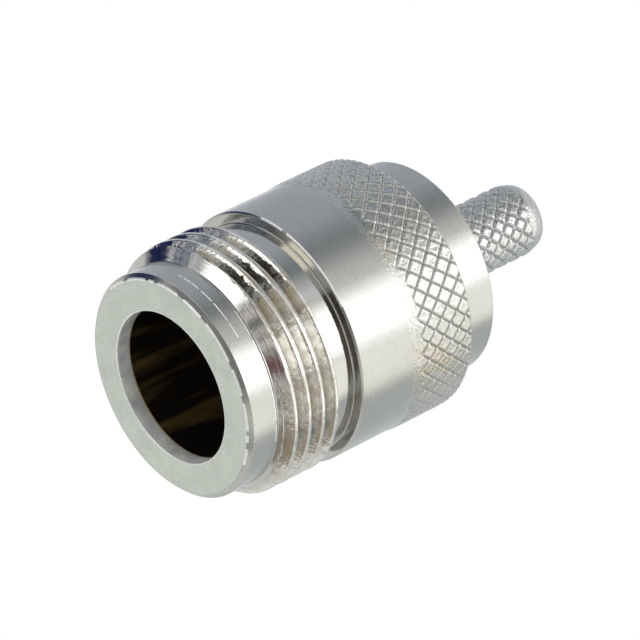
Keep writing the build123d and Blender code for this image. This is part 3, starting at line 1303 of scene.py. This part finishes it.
@dataclass
class Contact:
    """Gold-plated centre contact: four-fingered socket, flange and drilled wire barrel."""

    tip: float = 4.60
    radius: float = 1.52
    socket_radius: float = 0.83
    socket_depth: float = 5.20
    closing: float = 0.06
    tip_chamfer: float = 0.18
    slot_width: float = 0.25
    slot_length: float = 4.10
    fingers: int = 4
    finger_columns: int = 24
    flange_level: float = 12.00
    flange_end: float = 13.00
    flange_radius: float = 2.10
    barrel_radius: float = 1.05
    barrel_end: float = 17.20
    wire_radius: float = 0.50
    wire_level: float = 14.00
    sight_radius: float = 0.28
    sight_setback: float = 0.45
    drill_sides: int = 32
    drill_overrun: float = 0.30
    sharp_degrees: float = 25.0

    def build(self, finish: bpy.types.Material) -> bpy.types.Object:
        """Makes the contact.

        In words: each finger's columns run from one slot side to the other, whose angle off the
        slot's middle is the arc sine of half the slot's width over the radius. The faces across
        a slot are left out as far as the slot reaches, and walls and a floor close it.

        Args:
            finish: its material.

        Returns:
            The dressed piece.
        """
        slot_end = self.tip + self.slot_length
        tip_radius = self.radius - self.closing
        outline = [
            (0, self.tip + self.socket_depth),
            (self.socket_radius, self.tip + self.socket_depth),
            (self.socket_radius, slot_end),
            (self.socket_radius, self.tip + self.tip_chamfer),
            (self.socket_radius + self.tip_chamfer, self.tip),
            (tip_radius - self.tip_chamfer, self.tip),
            (tip_radius, self.tip + self.tip_chamfer),
            (self.radius, slot_end),
            (self.radius, self.flange_level),
            (self.flange_radius, self.flange_level),
            (self.flange_radius, self.flange_end),
            (self.barrel_radius, self.flange_end),
            (self.barrel_radius, self.barrel_end),
            (self.wire_radius, self.barrel_end),
            (self.wire_radius, self.wire_level),
            (0, self.wire_level),
        ]
        slotted = slice(2, 8)  # the outline's points from the slot's end inside to its end outside
        radius, height = np.array(outline).T[:, :, None]
        half_slot = np.arcsin(np.minimum(self.slot_width / 2 / np.maximum(radius, self.socket_radius), 1))
        sector = tau / self.fingers
        share = np.tile(np.linspace(0, 1, self.finger_columns + 1), self.fingers)[None, :]
        finger = np.repeat(np.arange(self.fingers), self.finger_columns + 1)[None, :]
        angle = finger * sector + half_slot + share * (sector - 2 * half_slot)
        skin = Skin(angle.shape[1])
        rows = skin.lay(radius, height, angle, np.zeros((1, 1)))
        low, high = rows[:-1], rows[1:]
        faces = np.stack([low, np.roll(low, -1, 1), np.roll(high, -1, 1), high], axis=-1)
        open_face = np.zeros(faces.shape[:2], bool)
        slots = np.arange(1, self.fingers + 1) * (self.finger_columns + 1) - 1
        open_face[slotted.start : slotted.stop - 1, slots] = True
        skin.cover(faces[~open_face], 0)
        starts = (slots + 1) % angle.shape[1]
        skin.cover(rows[slotted][:, starts].T, 0)
        skin.cover(rows[slotted][::-1, slots].T, 0)
        inner, outer = rows[slotted.start], rows[slotted.stop - 1]
        skin.cover(np.stack([inner[slots], inner[starts], outer[starts], outer[slots]], axis=-1), 0)
        piece = skin.close("gold_contact", [finish], self.sharp_degrees)
        self.drill_sight_hole(piece)
        return dress(piece, "centre_contact")

    def drill_sight_hole(self, piece: bpy.types.Object) -> None:
        """Cuts the hole that shows whether the wire is home, from the +X side into the wire bore.

        In words: the drill's points stand at even angles round a line along X, by the sine and the
        cosine of the angle.

        Args:
            piece: the contact.
        """
        sides = self.drill_sides
        turn = np.arange(sides) * tau / sides
        ring = np.stack([np.cos(turn), np.sin(turn)], axis=-1) * self.sight_radius
        level = self.wire_level + self.sight_setback
        near, far = 0.0, self.barrel_radius + self.drill_overrun
        ends = [np.column_stack([np.full(sides, x), ring[:, 0], ring[:, 1] + level]) for x in (near, far)]
        skin = Skin(sides)
        skin.points, skin.marks, skin.size = [np.concatenate(ends)], [np.zeros(2 * sides)], 2 * sides
        first, second = np.arange(sides), np.arange(sides, 2 * sides)
        skin.sleeve(np.stack([first, second]), 0)
        skin.cover(first[::-1][None, :], 0)
        skin.cover(second[None, :], 0)
        drill = skin.close("sight_hole_drill", [])
        cut = piece.modifiers.new("sight_hole", "BOOLEAN")
        cut.object, cut.operation, cut.solver = drill, "DIFFERENCE", "EXACT"
        evaluated = piece.evaluated_get(bpy.context.evaluated_depsgraph_get())
        piece.data = bpy.data.meshes.new_from_object(evaluated)
        piece.modifiers.clear()
        bpy.data.objects.remove(drill)


def dress(piece: bpy.types.Object, node: str) -> bpy.types.Object:
    """Makes a piece ride on the body and stand for its solid.

    Args:
        piece: the finished piece.
        node: the solid that it replaces.

    Returns:
        The same piece.
    """
    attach(piece, BODY)
    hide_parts(node)
    return piece


@dataclass(frozen=True)
class Viewpoint:
    """The photograph's camera, by where it sees the connector.

    In words: the axis leaves the picture at the sight angle and rises to the right by the tilt, and
    the mating face's centre stands at the given place before the lens.
    """

    sight_degrees: float = 55.83
    tilt_degrees: float = 26.18
    centre_right_mm: float = -8.773
    centre_down_mm: float = 3.960
    distance_mm: float = 321.82
    focal_pixels: float = 5500.0
    frame_pixels: float = 640.0
    sensor_mm: float = 36.0
    clip_m: tuple[float, float] = (0.01, 20.0)

    def build(self) -> bpy.types.Object:
        """Makes the camera and sets it in the scene.

        Returns:
            The camera object.
        """
        sight, tilt = radians(self.sight_degrees), radians(self.tilt_degrees)
        axis = Vector((sin(sight) * cos(tilt), -sin(sight) * sin(tilt), cos(sight)))
        mouth = Vector((self.centre_right_mm, self.centre_down_mm, self.distance_mm))
        facing = -mouth.normalized()
        facing = (facing - axis * facing.dot(axis)).normalized()
        side = axis.cross(facing)
        to_row = Matrix((side, -facing, axis))
        look = to_row @ Matrix(((1, 0, 0), (0, -1, 0), (0, 0, -1))).transposed()
        data = bpy.data.cameras.new("photo_camera")
        data.sensor_width = self.sensor_mm
        data.lens = self.focal_pixels / self.frame_pixels * self.sensor_mm
        data.clip_start, data.clip_end = self.clip_m
        camera = bpy.data.objects.new("photo_camera", data)
        camera.matrix_world = Matrix.Translation(-(to_row @ mouth) * MM) @ look.to_4x4()
        bpy.context.scene.collection.objects.link(camera)
        bpy.context.scene.camera = camera
        return camera


@dataclass(frozen=True)
class Sheet:
    """A flat thing of the studio that faces the connector, by its direction and the angles it fills."""

    name: str
    azimuth: float  # from -Y towards +X, in degrees
    elevation: float
    width_degrees: float
    height_degrees: float
    distance_mm: float = field(default=300.0, kw_only=True)

    def half_size(self) -> list[float]:
        """Half width and half height in metres: the distance times the tangent of half the angle."""
        angles = (self.width_degrees, self.height_degrees)
        return [self.distance_mm * MM * tan(radians(angle / 2)) for angle in angles]

    def hang(self, item: bpy.types.Object) -> None:
        """Links an object and turns it to the connector from the sheet's direction.

        In words: the direction is the cosine of the elevation times the sine of the azimuth, minus
        the cosine of the elevation times the cosine of the azimuth, and the sine of the elevation.

        Args:
            item: the object, flat across its own Z.
        """
        a, e = radians(self.azimuth), radians(self.elevation)
        direction = Vector((cos(e) * sin(a), -cos(e) * cos(a), sin(e)))
        turn = direction.to_track_quat("Z", "Y").to_matrix().to_4x4()
        item.matrix_world = Matrix.Translation(direction * self.distance_mm * MM) @ turn
        bpy.context.scene.collection.objects.link(item)


@dataclass(frozen=True)
class Softbox(Sheet):
    """A rectangular lamp. It lights, and a card stands in for its reflection."""

    radiance: float
    colour: str = "#ffffff"

    def build(self) -> None:
        """Makes the lamp: its power is the radiance times its area times pi."""
        width, height = (2 * half for half in self.half_size())
        data = bpy.data.lights.new(self.name, "AREA")
        data.shape, data.size, data.size_y = "RECTANGLE", width, height
        data.energy = self.radiance * width * height * pi
        data.color = linear(self.colour)[:3]
        lamp = bpy.data.objects.new(self.name, data)
        lamp.visible_glossy = False
        self.hang(lamp)


@dataclass(frozen=True)
class Card(Sheet):
    """A studio card that only the metal's reflections see, plain or blotched like a cluttered bench."""

    colour: str
    other: str | None = None
    blotch_mm: float = 60.0
    blotch_detail: float = 2.0
    blotch_limits: tuple[float, float] = (0.42, 0.58)
    strength: float = 1.0
    solid: float = 0.6  # share of the half width within which the card doesn't fade

    def fade(self, tree: bpy.types.NodeTree, half: list[float]) -> bpy.types.NodeSocket:
        """Opacity: 1 inside, and falling to 0 at the edges as the larger share of the half sizes grows.

        Args:
            tree: the material's node tree.
            half: half width and half height, in metres.

        Returns:
            The opacity.
        """
        place = add_node(tree, "ShaderNodeTexCoord")
        scaled = {0: place.outputs["Object"], 1: (1 / half[0], 1 / half[1], 0)}
        share = add_node(tree, "ShaderNodeVectorMath", scaled, operation="MULTIPLY")
        size = add_node(tree, "ShaderNodeVectorMath", {0: share.outputs[0]}, operation="ABSOLUTE")
        parts = add_node(tree, "ShaderNodeSeparateXYZ", {0: size.outputs[0]})
        both = {0: parts.outputs["X"], 1: parts.outputs["Y"]}
        larger = add_node(tree, "ShaderNodeMath", both, operation="MAXIMUM").outputs[0]
        fall = {"Value": larger, "From Min": 1.0, "From Max": self.solid}
        return add_node(tree, "ShaderNodeMapRange", fall).outputs[0]

    def glow(self, tree: bpy.types.NodeTree) -> bpy.types.Node:
        """Emission in the card's colour, or in clouds of its two colours.

        Args:
            tree: the material's node tree.

        Returns:
            The emission node.
        """
        inputs = {"Color": linear(self.colour), "Strength": self.strength}
        glow = add_node(tree, "ShaderNodeEmission", inputs)
        if self.other:
            place = add_node(tree, "ShaderNodeTexCoord")
            metres = {0: place.outputs["Object"], "Scale": 1 / MM}
            point = add_node(tree, "ShaderNodeVectorMath", metres, operation="SCALE").outputs[0]
            blotches = (self.blotch_mm, self.blotch_detail, self.blotch_limits, 1.0)
            colour = clouds(tree, point, *blotches, linear(self.colour), self.other)
            tree.links.new(colour, glow.inputs["Color"])
        return glow

    def build(self) -> None:
        """Makes the card: an emitting sheet, hidden from the camera, from shade and from soft light."""
        half = self.half_size()
        mesh = bpy.data.meshes.new(self.name)
        corners = [(x * half[0], y * half[1], 0) for x, y in ((-1, -1), (1, -1), (1, 1), (-1, 1))]
        mesh.from_pydata(corners, [], [(0, 1, 2, 3)])
        material = bpy.data.materials.new(self.name)
        material.use_nodes = True
        tree = material.node_tree
        tree.nodes.clear()
        clear = add_node(tree, "ShaderNodeBsdfTransparent").outputs[0]
        shown = {0: self.fade(tree, half), 1: clear, 2: self.glow(tree).outputs[0]}
        sheet = add_node(tree, "ShaderNodeMixShader", shown)
        add_node(tree, "ShaderNodeOutputMaterial", {"Surface": sheet.outputs[0]}, is_active_output=True)
        mesh.materials.append(material)
        card = bpy.data.objects.new(self.name, mesh)
        for ray in ("camera", "diffuse", "transmission", "volume_scatter", "shadow"):
            setattr(card, f"visible_{ray}", False)
        self.hang(card)


LAMPS = (
    Softbox("key_softbox", 19, 34, 38, 44, radiance=1.9),
    Softbox("warm_softbox", 63, 34, 30, 40, radiance=0.65, colour="#fff3dc"),
)
CARDS = (
    # The white streak down the barrel, and the cream band to the right of it.
    Card("key_reflection", 19, 34, 50, 60, "#ffffff", strength=2.9, solid=0.35),
    Card("warm_reflection", 64, 34, 42, 56, "#fffdf7", strength=1.7, solid=0.5, distance_mm=305),
    # The dark band to the left of the streak.
    Card("dark_flag", -49, 30, 44, 70, "#9da2a8", distance_mm=280, solid=0.1),
    # Dimmer wall on the far left, bluish, and a faint one on the right.
    Card("left_wall", -106, 30, 92, 66, "#cdd2dd", distance_mm=310, solid=0.7),
    Card("right_wall", 128, 30, 84, 66, "#dfe3e4", distance_mm=310, solid=0.7),
    # What the chamfer and the lower flanks see under the camera.
    Card("camera_hood", 0, -58, 70, 30, "#9a9a9c", distance_mm=285),
    # The camera itself, which darkens the corners that look straight back at it, and a table beside it.
    Card("camera", 0, -34, 34, 22, "#6a625a", distance_mm=280),
    Card("dark_table", 38, -31, 72, 15, "#877e73", distance_mm=281, solid=0.7),
    # The navy that the thread and the chamfer show at the upper left.
    Card("navy_curtain", -126, -16, 46, 28, "#1c2058", "#333f66", blotch_mm=22, distance_mm=280, solid=0.8),
    Card("navy_hem", -126, -36, 34, 11, "#262a5c", "#c3ccd8", blotch_mm=15, distance_mm=279, solid=0.8),
    # Bright doorway on the left, which the deep thread flanks send on to the camera.
    Card("doorway", -92, 8, 26, 18, "#ffffff", strength=1.2, distance_mm=284, solid=0.7),
    Card("doorpost", -58, 17, 36, 16, "#4a463f", distance_mm=278),
    # Grey skirting below it, which the chamfer shows, and the lit edge of the bench above that.
    Card("skirting", -80, -43, 58, 24, "#797a80", distance_mm=290, solid=0.7),
    Card("bench_edge", -60, -32, 34, 11, "#fff8ea", strength=3.0, distance_mm=283, solid=0.7),
    # A cream lampshade, low in front, for the mottled light deep in the thread.
    Card("lampshade", -24, 21, 24, 12, "#fff1d6", "#a89a80", blotch_mm=14, strength=1.5, distance_mm=276),
    # A window low on the left whitens the thread between the streak and the navy.
    Card("low_window", -104, -61, 38, 28, "#ffffff", distance_mm=285, strength=2.6),
    # The bench under the connector, and a reddish cloth on it.
    Card("bench", 0, -90, 84, 84, "#fbf7f0", "#77747a", blotch_mm=34, strength=1.25),
    Card("red_cloth", 71, -79, 11, 11, "#90656c", distance_mm=280),
    # Brownish floor on the right, which dims the lower flanks and the shoulder there.
    Card("floor_right", 114, -43, 54, 26, "#b5ab9d", distance_mm=290),
)


@dataclass(frozen=True)
class Studio:
    """White sweep, soft lamps and the cards that give the plate its darks and tints."""

    floor_radius_m: float = 4.0
    floor_gap_mm: float = 0.02
    floor_colour: str = "#f4f4f2"
    world_glossy: float = 1.0
    world_diffuse: float = 0.8
    floor_sides: int = 64

    def floor(self) -> None:
        """Makes the pale floor, which is see-through from below, where the photograph looks from.

        In words: its points stand at even angles, by the radius times the cosine and the sine.
        """
        sides = self.floor_sides
        turn = np.arange(sides) * tau / sides
        level = np.full(sides, -self.floor_gap_mm * MM)
        along, across = self.floor_radius_m * np.cos(turn), self.floor_radius_m * np.sin(turn)
        ring = np.column_stack([along, across, level])
        mesh = bpy.data.meshes.new("floor")
        mesh.from_pydata(ring.tolist(), [], [tuple(range(sides))])
        material, tree, shader = blank_material("pale_matt_floor")
        shader.inputs["Base Color"].default_value = linear(self.floor_colour)
        shader.inputs["Roughness"].default_value = 1.0
        shader.inputs["Specular IOR Level"].default_value = 0.0
        below = add_node(tree, "ShaderNodeNewGeometry").outputs["Backfacing"]
        clear = add_node(tree, "ShaderNodeBsdfTransparent").outputs[0]
        mix = add_node(tree, "ShaderNodeMixShader", {0: below, 1: shader.outputs[0], 2: clear})
        tree.links.new(mix.outputs[0], tree.nodes["Material Output"].inputs["Surface"])
        mesh.materials.append(material)
        floor = bpy.data.objects.new("floor", mesh)
        for ray in ("glossy", "diffuse", "shadow"):
            setattr(floor, f"visible_{ray}", False)
        bpy.context.scene.collection.objects.link(floor)

    def world(self) -> None:
        """Makes the world: white where the camera, gloss and glass see it, a little less as soft light."""
        world = bpy.data.worlds.new("white_sweep")
        bpy.context.scene.world = world
        world.use_nodes = True
        tree = world.node_tree
        tree.nodes.clear()
        path = add_node(tree, "ShaderNodeLightPath")
        white = {"Color": (1, 1, 1, 1)}
        soft = add_node(tree, "ShaderNodeBackground", white | {"Strength": self.world_diffuse})
        shown = add_node(tree, "ShaderNodeBackground", white | {"Strength": self.world_glossy})
        seen = path.outputs["Is Camera Ray"]
        for ray in ("Is Glossy Ray", "Is Transmission Ray"):
            either = {0: seen, 1: path.outputs[ray]}
            seen = add_node(tree, "ShaderNodeMath", either, operation="MAXIMUM").outputs[0]
        mix = add_node(tree, "ShaderNodeMixShader", {0: seen, 1: soft.outputs[0], 2: shown.outputs[0]})
        add_node(tree, "ShaderNodeOutputWorld", {"Surface": mix.outputs[0]})

    def build(self) -> None:
        """Puts up the floor, the world, the lamps and the cards."""
        bpy.context.scene.view_settings.view_transform = "Standard"
        self.floor()
        self.world()
        for part in (*LAMPS, *CARDS):
            part.build()


def main() -> None:
    """Builds the connector, the camera and the studio."""
    logging.basicConfig(level=logging.INFO, format="%(name)s: %(message)s")
    finishes = {finish: PLATING[finish].material() for finish in Finish}
    stem_finishes = {**finishes, Finish.KNURL: CRIMP_KNURL.material()}
    pieces = [Shell().build(list(finishes.values())), RearBody().build(list(stem_finishes.values()))]
    pieces += Insulators().build(TurnedPtfe().material())
    pieces.append(Contact().build(GOLD_PLATE.material()))
    for piece in pieces:
        LOG.info("%s: %d faces", piece.name, len(piece.data.polygons))
    Viewpoint().build()
    Studio().build()


if __name__ == "__main__":
    main()
